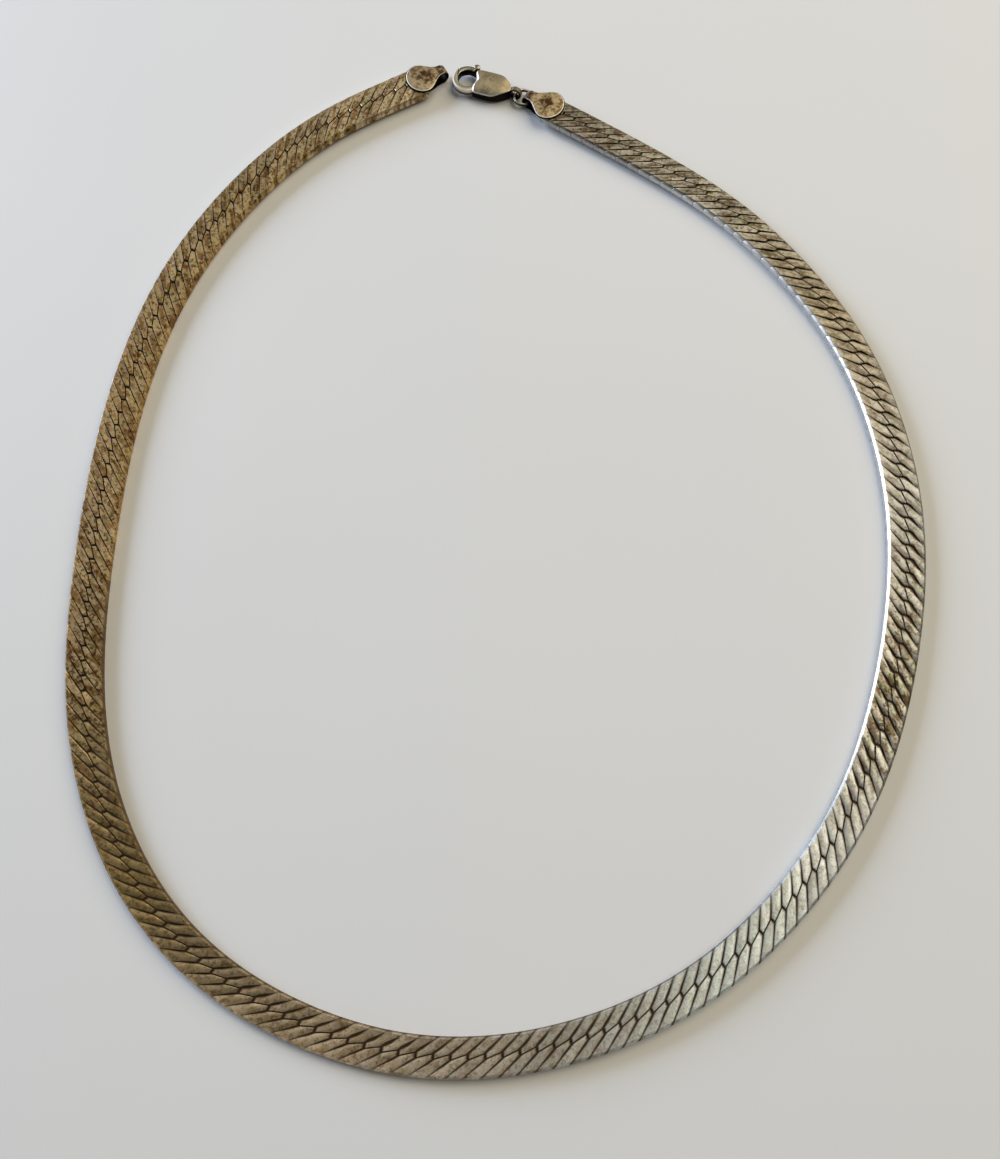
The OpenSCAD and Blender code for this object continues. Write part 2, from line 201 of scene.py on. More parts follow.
# what years of wear did to the band, one row for each place along it, in mm from the left cap: the
# scales' angle, half widths of the flat top and of the whole band in the outer row and in the inner row,
# how far the joints gape near the middle line in each row, how far they bow, the depth and width to
# which a scale's edge is rounded off, and how much soot the joints hold
wearColumns = (
    "at", "angle", "flatOuter", "fullOuter", "flatInner", "fullInner", "gapOuter", "gapInner", "bow",
    "edgeDeep", "edgeWide", "soot")
wearAlong = np.array([
    (0, 43, 2.85, 3.15, 3.10, 3.30, 0.20, 0.20, 0.00, 0.08, 0.09, 1.0),
    (30, 42, 2.80, 3.10, 3.05, 3.28, 0.15, 0.15, 0.00, 0.08, 0.07, 0.9),
    (60, 41, 2.75, 3.05, 3.00, 3.25, 0.10, 0.10, 0.00, 0.08, 0.06, 0.8),
    (95, 33, 2.60, 2.90, 2.80, 3.05, 0.10, 0.10, 0.00, 0.08, 0.06, 0.8),
    (130, 31, 2.45, 2.75, 2.60, 2.85, 0.12, 0.12, 0.00, 0.08, 0.15, 1.0),
    (150, 36, 2.40, 2.70, 2.35, 2.65, 0.14, 0.20, 0.00, 0.08, 0.35, 1.0),
    (185, 38, 2.40, 2.75, 2.20, 2.55, 0.17, 0.36, 0.00, 0.08, 0.50, 1.0),
    (215, 37, 2.35, 2.75, 2.20, 2.55, 0.16, 0.32, 0.00, 0.07, 0.50, 0.95),
    (240, 38, 2.40, 2.80, 2.25, 2.50, 0.18, 0.22, 0.00, 0.05, 0.50, 0.95),
    (262, 40, 2.45, 2.85, 2.30, 2.50, 0.13, 0.15, 0.00, 0.03, 0.50, 0.85),
    (286, 42, 2.45, 2.85, 2.35, 2.60, 0.13, 0.15, 0.00, 0.05, 0.45, 0.9),
    (294, 42, 2.50, 2.90, 2.40, 2.68, 0.34, 0.50, 0.03, 0.10, 0.45, 1.0),
    (304, 42, 2.50, 2.90, 2.48, 2.78, 0.40, 0.50, 0.08, 0.10, 0.45, 1.0),
    (322, 44, 2.50, 2.90, 2.58, 2.88, 0.48, 0.30, 0.15, 0.10, 0.45, 1.0),
    (345, 45, 2.40, 2.75, 2.72, 3.03, 0.26, 0.20, 0.22, 0.08, 0.40, 0.9),
    (368, 45, 2.35, 2.70, 2.70, 3.06, 0.42, 0.22, 0.18, 0.08, 0.30, 1.0),
    (392, 42, 2.30, 2.65, 2.66, 3.02, 0.18, 0.26, 0.05, 0.08, 0.12, 1.0),
    (405, 39, 2.30, 2.65, 2.60, 2.95, 0.17, 0.17, 0.00, 0.08, 0.10, 1.0),
    (438, 33, 2.30, 2.65, 2.60, 2.85, 0.17, 0.17, 0.00, 0.08, 0.10, 1.0)])
# where the band carries painted light, soot and darker joints: mm from the left cap, and the strength
# there
marksAlong = {
    # a painted highlight on the outer side at the left, a painted reflection of the window on the inner
    # side at the right
    "highlightOuter": ([0, 95, 135], [0.62, 0.55, 0]),                      # the outer side, at the left
    "reflectionInner": ([266, 305, 395, 418], [0, 1, 1, 0.5]),               # the inner side, at the right
    # a painted highlight along one edge of each scale
    "shine": ([0, 120, 170, 390, 410], [0.36, 0.36, 0, 0, 0.36]),     # one edge of each scale, both ends
    "sootTip": ([180, 200, 290, 310], [0, 0.6, 0.6, 0]),              # the scales' tips, at the bottom
    # painted shade on the inner side at the lower left
    "shadeInner": ([100, 125, 262, 282], [0, 0.75, 0.75, 0]),          # the inner side, at the lower left
    "darkJointsOuter": ([205, 225, 300, 320], [0, 1, 1, 0]),                # the outer side, at the bottom
}


def sampleRoute(points, steps=24):
    # cubic B-spline on corrected controls, each chosen point less a sixth of the second difference
    # there, so that the curve goes through the points; both ends are extended in a straight line
    beyond = np.vstack([2 * points[0] - points[1], points, 2 * points[-1] - points[-2]])
    inner = beyond[1:-1] - (beyond[:-2] - 2 * beyond[1:-1] + beyond[2:]) / 6
    q = np.vstack([2 * inner[0] - inner[1], inner, 2 * inner[-1] - inner[-2]])
    t = (np.arange(steps) / steps)[None, :, None]
    spans = ((1 - t) ** 3 * q[:-3, None] + (3 * t ** 3 - 6 * t ** 2 + 4) * q[1:-2, None]
             + (-3 * t ** 3 + 3 * t ** 2 + 3 * t + 1) * q[2:-1, None] + t ** 3 * q[3:, None]) / 6
    return np.vstack([spans.reshape(-1, 2), points[-1]])


curve = sampleRoute(route)
runAlong = np.concatenate([[0], np.cumsum(np.linalg.norm(np.diff(curve, axis=0), axis=1))])
bandLength = runAlong[-1]


def alongBand(s):
    # the band's middle at a distance from the left cap, straight between the route's samples
    return np.stack([np.interp(s, runAlong, curve[:, 0]), np.interp(s, runAlong, curve[:, 1])], -1)


def aheadOnBand(s):
    # the way the band runs there, from half a millimetre behind to half a millimetre ahead
    way = alongBand(np.minimum(s + 0.5, bandLength)) - alongBand(np.maximum(s - 0.5, 0))
    return way / np.linalg.norm(way, axis=-1, keepdims=True)


def bentToBand(s, y):
    # a point at distance s and y towards the neck: the curve at s plus y times its inward normal
    way = aheadOnBand(s)
    return alongBand(s) + y[..., None] * np.stack([-way[..., 1], way[..., 0]], -1)


edgeLine = bentToBand(runAlong, 0 * runAlong - outerEdge)
# the part's origin is under the middle of the whole: its box gives the shift from the route's own numbers
middle = edgeLine.min(0) - np.array(cadBox[0][:2]) / mm


def liftAt(s):
    # how far the band rises into its caps: the lift times a smooth step over the last of its length
    return chain["capLift"] * smoothStep(1 - np.minimum(s, bandLength - s) / chain["riseReach"])


def toPart(flat, z):
    # route millimetres to the part's frame in metres
    return np.concatenate([flat - middle, z[..., None]], -1) * mm


def worn(column, s):
    # one column of the wear, straight between its rows
    return np.interp(s, wearAlong[:, 0], wearAlong[:, wearColumns.index(column)])


print("materials")


def tarnishedRolledSilver():
    # sterling links, rolled flat and never polished since: a warm grey metal under a brown sulphide film,
    # thin on the crowns and nearly black in the joints, mottled with specks under a millimetre wide, with
    # painted highlights and reflections on its sides and edges and painted shade on some of its walls
    material, tree, shader, coords = startMaterial("tarnishedRolledSilver")
    band = addNode(tree, "ShaderNodeUVMap", {"uv_map": "band"})
    split = addNode(tree, "ShaderNodeSeparateXYZ", links={"Vector": band.outputs["UV"]})
    # film colour along the chain, partly real tarnish and partly painted light, the shade and reflections
    # that fall on each stretch: straw-brown at the left, darkest at the lower left, palest at the lower
    # right, greyer up the right side, and beside it how strongly that stretch is specked
    film = addNode(tree, "ShaderNodeValToRGB", links={"Fac": split.outputs["X"]})
    specked = addNode(tree, "ShaderNodeValToRGB", links={"Fac": split.outputs["X"]})
    stops = [
        (0.0, "#ecdec0", 0.8), (0.1, "#d4bb8a", 0.9), (0.2, "#d6b57d", 0.8), (0.3, "#d9be90", 0.9),
        (0.38, "#b69e6b", 0.5), (0.46, "#f5e0c1", 0.5), (0.53, "#dfded8", 0.4), (0.585, "#e2eff5", 0.25),
        (0.65, "#c1c6cb", 0.3), (0.69, "#acaeac", 0.9), (0.76, "#a4a7aa", 0.4), (0.85, "#928c80", 0.5),
        (0.92, "#969898", 0.8), (1.0, "#99948f", 0.8)]
    for ramp in (film.color_ramp, specked.color_ramp):
        while len(ramp.elements) < len(stops):
            ramp.elements.new(0.5)
    for index, (share, colour, strength) in enumerate(stops):
        film.color_ramp.elements[index].position = share
        film.color_ramp.elements[index].color = hexToLinear(colour)
        specked.color_ramp.elements[index].position = share
        specked.color_ramp.elements[index].color = (strength, strength, strength, 1)
    # olive and rose patches 1.6 mm wide, where the film is thin enough to show interference colours
    patch = addNode(tree, "ShaderNodeTexNoise", links={"Vector": coords},
                    Scale=noiseScale(1.5625), Detail=5.0, Roughness=0.6)
    patchRamp = addNode(tree, "ShaderNodeValToRGB", links={"Fac": patch.outputs["Fac"]})
    patchRamp.color_ramp.elements.new(0.5)
    for index, (share, tint) in enumerate(((0.36, "#dfe0b4"), (0.5, "#fffdf6"), (0.66, "#f0dac8"))):
        patchRamp.color_ramp.elements[index].position = share
        patchRamp.color_ramp.elements[index].color = hexToLinear(tint)
    # mottling 1.1 mm wide, drawn out threefold along the scales by wear, on a map laid along their slant
    drawn = addNode(tree, "ShaderNodeUVMap", {"uv_map": "slant"})
    mottle = addNode(tree, "ShaderNodeTexNoise", links={"Vector": drawn.outputs["UV"]},
                     Scale=noiseScale(1.1111), Detail=5.0, Roughness=0.7)
    mottleMask = addNode(tree, "ShaderNodeMapRange", smoothRamp,
                         {"Value": mottle.outputs["Fac"]}, **{"From Min": 0.45, "From Max": 0.58})
    # specks 0.6 mm wide and grain 0.2 mm wide, noise in object coordinates
    speck = addNode(tree, "ShaderNodeTexNoise", links={"Vector": coords},
                    Scale=noiseScale(0.625), Detail=3.0, Roughness=0.65)
    speckMask = addNode(tree, "ShaderNodeMapRange", smoothRamp,
                        {"Value": speck.outputs["Fac"]}, **{"From Min": 0.50, "From Max": 0.62})
    grain = addNode(tree, "ShaderNodeTexNoise", links={"Vector": coords},
                    Scale=noiseScale(0.1923), Detail=2.0, Roughness=0.6)
    grainGain = addNode(tree, "ShaderNodeMapRange", links={"Value": grain.outputs["Fac"]},
                        **{"From Min": 0.3, "From Max": 0.7, "To Min": 0.84, "To Max": 1.14})
    linkTone = addNode(tree, "ShaderNodeAttribute", {"attribute_name": "linkTone"})
    toneGain = addNode(tree, "ShaderNodeMath", {"operation": "MULTIPLY"},
                       {0: grainGain.outputs["Result"], 1: linkTone.outputs["Fac"]})
    toned = addNode(tree, "ShaderNodeVectorMath", {"operation": "SCALE"},
                    {"Vector": film.outputs["Color"], "Scale": toneGain.outputs["Value"]})
    patched = addNode(tree, "ShaderNodeMix", tintMix, {
        "Factor": specked.outputs["Color"], "A": toned.outputs["Vector"],
        "B": patchRamp.outputs["Color"]})
    colour = patched.outputs["Result"]
    for mask, tint in ((mottleMask, "#957a4e"), (speckMask, "#806840")):
        strength = addNode(tree, "ShaderNodeMath", {"operation": "MULTIPLY"},
                           {0: mask.outputs["Result"], 1: specked.outputs["Color"]})
        mixed = addNode(tree, "ShaderNodeMix", tintMix,
                        {"Factor": strength.outputs["Value"], "A": colour})
        mixed.inputs["B"].default_value = hexToLinear(tint)
        colour = mixed.outputs["Result"]
    # the sides and scale edges get painted highlights and a painted reflection of the window, soot packs
    # into the joints, and painted shade darkens some walls. The last mask is the soot and shade's
    for mark, low, high, tint in (("rubbedAndHighlit", 0.2, 0.8, "#e0ded8"), ("sootAndShade", 0.2, 1.0, "#4a3618")):
        near = addNode(tree, "ShaderNodeAttribute", {"attribute_name": mark})
        mask = addNode(tree, "ShaderNodeMapRange", smoothRamp,
                       {"Value": near.outputs["Fac"]}, **{"From Min": low, "From Max": high})
        mixed = addNode(tree, "ShaderNodeMix", colourMix,
                        {"Factor": mask.outputs["Result"], "A": colour})
        mixed.inputs["B"].default_value = hexToLinear(tint)
        colour = mixed.outputs["Result"]
    tree.links.new(colour, shader.inputs["Base Color"])
    # soot, and the painted shade with it, is no metal
    bare = addNode(tree, "ShaderNodeMapRange", links={"Value": mask.outputs["Result"]},
                   **{"To Min": 1.0, "To Max": 0.2})
    tree.links.new(bare.outputs["Result"], shader.inputs["Metallic"])
    rough = addNode(tree, "ShaderNodeMapRange", links={"Value": mottle.outputs["Fac"]},
                    **{"From Min": 0.35, "From Max": 0.7, "To Min": 0.36, "To Max": 0.52})
    tree.links.new(rough.outputs["Result"], shader.inputs["Roughness"])
    bump = addNode(tree, "ShaderNodeBump", links={"Height": speck.outputs["Fac"]},
                   Strength=0.3, Distance=0.05 * mm)
    tree.links.new(bump.outputs["Normal"], shader.inputs["Normal"])
    return material


def wornSilver(name, look):
    # a base tone under a darker film where a noise passes a threshold, rust-brown patches, rims rubbed
    # bright with a painted highlight, soot and painted shade in the hollows, and roughness that follows
    # the film
    material, tree, shader, coords = startMaterial(name)
    shader.inputs["Metallic"].default_value = 1.0
    stain = addNode(tree, "ShaderNodeTexNoise", links={"Vector": coords},
                    Scale=noiseScale(look["stainSize"]), Detail=6.0, Roughness=0.68)
    spot = addNode(tree, "ShaderNodeTexNoise", links={"Vector": coords},
                   Scale=noiseScale(look["spotSize"]), Detail=3.0, Roughness=0.6)
    spotGain = addNode(tree, "ShaderNodeMapRange", links={"Value": spot.outputs["Fac"]},
                       **{"From Min": 0.3, "From Max": 0.7, "To Min": 0.8, "To Max": 1.18})
    stainMask = addNode(
        tree, "ShaderNodeMapRange", smoothRamp, {"Value": stain.outputs["Fac"]},
        **{"From Min": look["low"], "From Max": look["high"]})
    film = addNode(tree, "ShaderNodeMix", colourMix, {"Factor": stainMask.outputs["Result"]})
    film.inputs["A"].default_value = hexToLinear(look["base"])
    film.inputs["B"].default_value = hexToLinear(look["film"])
    spotted = addNode(tree, "ShaderNodeVectorMath", {"operation": "SCALE"},
                      {"Vector": film.outputs["Result"], "Scale": spotGain.outputs["Result"]})
    colour = spotted.outputs["Vector"]
    for mark in ("rust", "rubbedAndHighlit", "sootAndShade"):
        near = addNode(tree, "ShaderNodeAttribute", {"attribute_name": mark})
        mask = addNode(tree, "ShaderNodeMapRange", smoothRamp,
                       {"Value": near.outputs["Fac"]}, **{"From Min": 0.1, "From Max": 0.9})
        if mark == "rust":
            # broken up by the same noise as the film
            broken = addNode(tree, "ShaderNodeMath", {"operation": "MULTIPLY"},
                             {0: mask.outputs["Result"], 1: stain.outputs["Fac"]})
            mask = addNode(tree, "ShaderNodeMapRange", smoothRamp,
                           {"Value": broken.outputs["Value"]}, **{"From Min": 0.26, "From Max": 0.56})
        mixed = addNode(tree, "ShaderNodeMix", colourMix,
                        {"Factor": mask.outputs["Result"], "A": colour})
        mixed.inputs["B"].default_value = hexToLinear(look[mark])
        colour = mixed.outputs["Result"]
    tree.links.new(colour, shader.inputs["Base Color"])
    rough = addNode(tree, "ShaderNodeMapRange", links={"Value": stain.outputs["Fac"]}, **{
        "From Min": 0.3, "From Max": 0.7, "To Min": look["roughLow"], "To Max": look["roughHigh"]})
    tree.links.new(rough.outputs["Result"], shader.inputs["Roughness"])
    bump = addNode(tree, "ShaderNodeBump", links={"Height": stain.outputs["Fac"]},
                   Strength=0.3, Distance=look["bump"] * mm)
    tree.links.new(bump.outputs["Normal"], shader.inputs["Normal"])
    return material


linkSilver = tarnishedRolledSilver()
# the looks of the other metals: sizes of the stains and spots and depth of the bump in mm, and the noise
# between which the film closes. Sheet blanked and folded over the chain's end: rust-brown film in the
# middle of the pad, rubbed bright at its rim with a painted highlight, and painted shade under the rim
capSilver = wornSilver("stampedTarnishedSilver", {
    "base": "#b8a684", "film": "#7a6444", "rust": "#4e3721", "rubbedAndHighlit": "#e8e4d8", "sootAndShade": "#17100a",
    "stainSize": 1.0, "spotSize": 0.4167, "low": 0.42, "high": 0.62,
    "roughLow": 0.5, "roughHigh": 0.68, "bump": 0.05})
# cast clasp, tumbled half bright: olive film with edges rubbed bright and a painted highlight on them, and
# hollows painted nearly black as shade
claspSilver = wornSilver("castTumbledSilver", {
    "base": "#a89c80", "film": "#877c62", "rust": "#5f5238", "rubbedAndHighlit": "#ece9df", "sootAndShade": "#1d1410",
    "stainSize": 2.381, "spotSize": 0.3846, "low": 0.46, "high": 0.66,
    "roughLow": 0.48, "roughHigh": 0.62, "bump": 0.03})
# the lever and its rivet are the same casting, handled more: greyer and smoother
leverSilver = wornSilver("handledGreySilver", {
    "base": "#a09c8e", "film": "#7b7566", "rust": "#6b665a", "rubbedAndHighlit": "#dcd9ce", "sootAndShade": "#17130f",
    "stainSize": 2.0, "spotSize": 0.3846, "low": 0.48, "high": 0.68,
    "roughLow": 0.3, "roughHigh": 0.45, "bump": 0.03})
# drawn wire: smooth, with a dark film in its scratches
wireSilver = wornSilver("drawnSilverWire", {
    "base": "#8d8776", "film": "#3f382b", "rust": "#4a4234", "rubbedAndHighlit": "#dcd9ce", "sootAndShade": "#17130f",
    "stainSize": 1.4286, "spotSize": 0.3846, "low": 0.40, "high": 0.58,
    "roughLow": 0.2, "roughHigh": 0.4, "bump": 0.02})

print("chain links")


# a bar is half a link. Its stations run from its tip near the middle line out over the flat top, down
# the band's side and back underneath. For each: the way its face looks, across and up, and its share of
# the worn edge and of the tilt
faceY, faceZ, edgeShare, tiltShare = np.array([
    (0, 1, 1, 1),               # tip
    (0, 1, 1, 1),               # corner
    (0, 1, 1, 1),               # middle of the scale
    (-0.38, 0.92, 0.6, 0.5),    # shoulder
    (-0.92, 0.38, 0, 0),        # foot of the bevel
    (-0.95, -0.3, 0, 0),        # foot of the wall
    (-0.3, -0.95, 0.6, 0),      # underside
    (0, -1, 1, 0)]).T           # its end
upper = np.array([1, 1, 1, 1, 1, 0, 0, 0])


def layBars(rng):
    # one value for each bar: a link is two bars half a turn apart, row 0 is the outer one, and spare
    # bars at both ends fill the corners under the caps' pads
    count = round(bandLength / chain["pitchWish"]) - chain["linkSpan"] + 1
    pitch = bandLength / (count - 1 + chain["linkSpan"])
    link, row = np.meshgrid(np.arange(-2, count + 2), [0, 1], indexing="ij")
    wanted = ~((row == 1) & (link == -2)) & ~((row == 0) & (link == count + 1))
    link, row = link[wanted], row[wanted]
    s = chain["linkSpan"] * pitch / 2 + pitch * link
    full, flat, gape = (np.where(row == 0, worn(key + "Outer", s), worn(key + "Inner", s))
                        for key in ("full", "flat", "gap"))
    gape = np.maximum(gape * rng.uniform(*chain["gapSpread"], s.shape), chain["joint"])
    return pitch, row, s, full, flat, gape


def barOutline(pitch, row, s, slope, full, flat):
    # seen from above, for every bar and station: its place across the band, and the bar's two edges
    # along it. An edge runs reachUp ahead from the side to the corner, steps one pitch from the corner
    # to the tip, and runs reachDown back underneath
    halfStep, tipX = chain["stepHeight"] / 2, chain["linkSpan"] * pitch / 2
    reachUp = (full - halfStep) / np.tan(slope)
    shift = tipX - pitch / 2 - reachUp
    reachDown = tipX - pitch / 2 + shift
    one, tipY = np.ones_like(s), halfStep - chain["tipShort"]
    y = np.stack([tipY * one, -halfStep * one, -chain["midway"] * one, -flat, -full, -full, -flat,
                  chain["underReach"] * one], 1)
    # a run stops short where it would pass the end of the band
    ahead = np.where(row == 0, bandLength - s, s) - chain["endMargin"]
    behind = np.where(row == 0, s, bandLength - s) - chain["endMargin"]
    cutShort = np.clip((ahead - shift) / reachUp, 0.15, 1) * (full - halfStep) / (full + tipY)
    shareUp = np.where(ahead < tipX - 0.3, cutShort, 1)
    shareDown = np.clip((shift + behind) / reachDown, 0.15, 1)
    y[:, :3] = -full[:, None] + (y[:, :3] + full[:, None]) * shareUp[:, None]
    y[:, 7] = -full + (y[:, 7] + full) * shareDown
    slant = np.clip((y + full[:, None]) / (full - halfStep)[:, None], 0, 1)
    zig = np.clip((y + halfStep) / (2 * halfStep), 0, 1)
    run = np.where(upper > 0, reachUp[:, None], -reachDown[:, None]) * slant
    left = shift[:, None] - pitch / 2 + run + pitch * zig * upper
    right = shift[:, None] + pitch / 2 + run - pitch * zig * (1 - upper)
    return y, left, right


def openJoints(slope, gape, gaping):
    # half of each joint, measured along the band, at every station of a bar's two edges. Where a joint
    # gapes at the middle line, its scales touch at the shoulder
    one = np.ones_like(slope)
    cut, gapeCut = 0.5 * chain["joint"] / np.sin(slope), 0.5 * gape / np.sin(slope)
    beyond = [gapeCut, cut * (0.6 - 0.5 * gaping), np.outer(one, chain["sideJoints"])]
    step = 0.5 * chain["stepJoint"] * one
    trimLeft = np.column_stack([chain["tipJoint"] * one, cut + chain["cornerJoint"], *beyond])
    trimRight = np.column_stack([step, step, *beyond])
    return trimLeft, trimRight


def barSections(s, y, left, right, rng):
    # the section at every station: edge, shoulder, shoulder, edge, keel, as shares of half the bar's
    # width and as depths under its face, which lies a little out of flat
    xMid, xHalf = (left + right) / 2, np.maximum((right - left) / 2, 0.03)
    xMid[:, 2] += worn("bow", s)
    wide = np.minimum(worn("edgeWide", s)[:, None], 0.6 * xHalf)
    edgeSlope = worn("edgeDeep", s) / worn("edgeWide", s)
    edge = edgeSlope[:, None] * wide * edgeShare
    inset = 1 - wide / xHalf
    across = np.stack([-1 + 0 * inset, -inset, inset, 1 + 0 * inset, 0 * inset], -1)
    depth = np.stack([edge, 0 * edge, 0 * edge, edge, chain["metal"] + 0 * edge], -1)
    sink = depth + rng.normal(0, chain["tilt"], (len(s), 1, 1)) * across * tiltShare[:, None]
    z = chain["thick"] * upper
    z[4:6] = chain["thick"] - chain["bevel"], chain["wallFoot"]
    return (xMid[..., None] + xHalf[..., None] * across, y[..., None] - faceY[:, None] * sink,
            z[:, None] - faceZ[:, None] * sink)


def overBar(strength, stations, section=(1, 1, 1, 1, 1)):
    # the strength at each bar, times its share at each station and at each point of the section
    return strength[:, None, None] * np.outer(stations, section)


def barMarks(row, s, gaping):
    # rubbed metal with painted highlights and reflections, soot, and painted shade for every bar, station
    # and point of the section
    at = {key: np.interp(s, places, strengths) for key, (places, strengths) in marksAlong.items()}
    sideHighlight = np.where(row == 0, at["highlightOuter"], at["reflectionInner"])
    shadeInner, darkJointsOuter = at["shadeInner"] * row, at["darkJointsOuter"] * (1 - row)
    inJoints = overBar(worn("soot", s), [1, 1, 1, 0.7, 0.15, 0.15, 1, 1], [1, 0, 0, 1, 1.3])
    inJoints[:, 3] *= 1 - 0.5 * gaping[:, None]
    return {
        "rubbedAndHighlit": (overBar(sideHighlight, [0, 0, 0, 0.35, 1, 1, 0, 0])
                   + overBar(at["shine"], [0, 1, 1, 0.6, 0, 0, 0, 0], [0, 1, 0, 0, 0])),
        "sootAndShade": (inJoints
                  + overBar(at["sootTip"], [1, 0, 0, 0, 0, 0, 0, 0], [0, 1, 1, 0, 0])
                  + overBar(shadeInner, [0, 0, 0, 0.45, 1.2, 1.2, 0, 0])
                  + overBar(darkJointsOuter, [0, 0, 0, 0.2, 0.85, 0.85, 0, 0], [1, 0, 0, 1, 0]))}


def barFaces(bars, rows, columns):
    # one bar's faces, repeated for all of them
    starts = (np.arange(bars) * rows * columns)[:, None, None]
    oneBar = np.array(gridFaces(rows, columns, closeColumns=True))
    faces = (oneBar[None] + starts).reshape(-1, 4).tolist()
    for end in (np.arange(columns)[::-1], np.arange((rows - 1) * columns, rows * columns)):
        faces += (end[None] + starts[:, 0]).tolist()
    return faces


def buildLinks():
    # every bar at once, as arrays of bar x station x point of its section
    rng = np.random.default_rng(chain["seed"])
    pitch, row, s, full, flat, gape = layBars(rng)
    slope = np.radians(worn("angle", s))
    # how far a joint gapes at the middle line, from 0 at 0.16 mm to 1 at 0.36 mm
    gaping = np.clip((gape - 0.16) / 0.2, 0, 1)
    y, left, right = barOutline(pitch, row, s, slope, full, flat)
    trimLeft, trimRight = openJoints(slope, gape, gaping)
    x, y, z = barSections(s, y, left + trimLeft, right - trimRight, rng)
    # the inner row is the outer one turned half round; what passes the end margins shrinks to a thirtieth
    turn = (1 - 2 * row)[:, None, None]
    along, across = s[:, None, None] + x * turn, y * turn
    held = np.clip(along, chain["endMargin"], bandLength - chain["endMargin"])
    along = held + (along - held) / 30
    points = toPart(bentToBand(along, across), z + liftAt(s)[:, None, None])
    marks = barMarks(row, s, gaping)
    marks["linkTone"] = rng.uniform(*chain["toneSpread"], (len(s), 1, 1))
    # two maps: shares of the band's length and width, and a third of the metres along the scales with
    # the metres across them
    lean = math.radians(chain["lean"])
    alongScale = along * math.cos(lean) + across * math.sin(lean)
    acrossScale = across * math.cos(lean) - along * math.sin(lean)
    maps = {"band": (along / bandLength, 0.5 + across / (2 * outerEdge)),
            "slant": (alongScale * mm / 3, acrossScale * mm)}
    return {
        "points": points.reshape(-1, 3),
        "faces": barFaces(*x.shape),
        "marks": {key: np.broadcast_to(mark, x.shape).reshape(-1) for key, mark in marks.items()},
        "maps": {key: np.stack(uv, -1).reshape(-1, 2) for key, uv in maps.items()}}


shadeRibbonSize = {"halfWidth": 1.75, "low": 0.68, "high": 1.12, "endMargin": 2.5, "steps": 220}    # mm


def shadeRibbon():
    # a sheet painted dark as shade between the two layers of runs, which darkens what shows through the
    # joints: a thin ribbon along the band
    s = np.linspace(shadeRibbonSize["endMargin"], bandLength - shadeRibbonSize["endMargin"], shadeRibbonSize["steps"])[:, None]
    y = shadeRibbonSize["halfWidth"] * np.array([-1, 1, 1, -1]) + 0 * s
    z = np.repeat([shadeRibbonSize["low"], shadeRibbonSize["high"]], 2) + liftAt(s)
    return closedShell(toPart(bentToBand(s, y), z), sootAndShade=1.0)


linkShell = buildLinks()
links = meshPiece("chainLinks", [linkShell], linkSilver, "necklace", 20)
corner = np.zeros(len(links.data.loops), np.int32)
links.data.loops.foreach_get("vertex_index", corner)
for mapName, uv in linkShell["maps"].items():
    flatMap = uv[corner].astype(np.float32).reshape(-1)
    links.data.uv_layers.new(name=mapName).data.foreach_set("uv", flatMap)
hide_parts("chain")
meshPiece("shadeRibbon", [shadeRibbon()], linkSilver, "necklace", 20)

print("end caps")
cap = {
    "sheet": 0.35,         # mm
    "seatGap": 0.12,       # mm between the sheet and the band
    "neckWidth": 2.0,
    "padWidth": 6.2,
    "padReach": 6.6,       # mm from the fold to the pad's far edge
    "tongueWidth": 3.2,    # the sheet's other end, under the band
    "tongueReach": 5.4,
    "foldToBand": 2.4,
    "dome": 0.1,           # mm that the pad bulges in its middle
    "flareShare": 0.03,    # share of a leaf's length at which it starts to widen
    "roundShare": 0.42,    # share of its length that its round end takes
    "spineShare": 0.58,    # share of its length at which its spine ends
    "eyeEdge": 0.1,        # mm that the eye's edges are rounded off
    "barrelRadius": 0.55,  # mm, the solder that fills the fold behind the band
}
capHeight = 2 * cap["sheet"] + 2 * cap["seatGap"] + chain["thick"]
foldRadius = capHeight / 2


def leafHalf(x, reach, width):
    # half width of a leaf: neck, smooth step out to the full width, half ellipse
    roundLength = cap["roundShare"] * reach
    mid = reach - roundLength
    flare = cap["flareShare"] * reach
    neck = cap["neckWidth"] / 2
    flank = neck + (width / 2 - neck) * smoothStep((x - flare) / (mid - flare))
    return np.where(x < mid, flank, width / 2 * np.sqrt(np.maximum(0, 1 - ((x - mid) / roundLength) ** 2)))


def leafShell(outer, inner, reach, width, dome, hidden=False):
    # leaf of sheet between two heights, in rings: each point is the spine's plus a share of the way to
    # the rim. The top falls by the dome times the share squared, and its edge is rounded
    x = reach * np.sin(np.linspace(0, math.pi / 2, 22))
    x[0] = -cap["sheet"]
    half = leafHalf(x, reach, width)
    rim = np.concatenate([np.stack([x, -half], 1), np.stack([x, half], 1)[-2::-1]])
    spine = np.stack([np.clip(rim[:, 0], 0, cap["spineShare"] * reach), 0 * rim[:, 1]], 1)
    shares = np.array([0.02, 0.3, 0.55, 0.8, 0.94, 0.96, 0.99, 1.0, 1.0, 1.05, 1.05, 0.02])
    depths = np.array([0, 0, 0, 0, 0, 0.03, 0.10, 0.22, 0.7, 0.85, 1, 1])
    flat = spine[None] + shares[:, None, None] * (rim - spine)[None]
    fall = dome * np.outer(np.where(depths < 0.5, shares ** 2, 0), smoothStep(rim[:, 0] / 2.5))
    z = outer + (inner - outer) * depths[:, None] - fall
    points = np.concatenate([flat, z[..., None]], -1)
    away = np.linalg.norm(flat - np.array([0.5 * reach, 0]), axis=-1) / (width / 2)
    # painted highlight and wear at the rim, painted shade under it and all over the hidden tongue,
    # rust-brown in the middle and on the neck
    rimShade = np.array([0, 0, 0, 0, 0, 0, 0, 0.1, 0.8, 1, 1, 1])[:, None]
    return closedShell(
        points,
        rubbedAndHighlit=np.array([0, 0, 0, 0, 0, 0.7, 1, 1, 0.3, 0, 0, 0])[:, None],
        sootAndShade=1.0 if hidden else rimShade,
        rust=np.maximum(1.1 - away, 1.1 - 0.5 * flat[..., 0]))


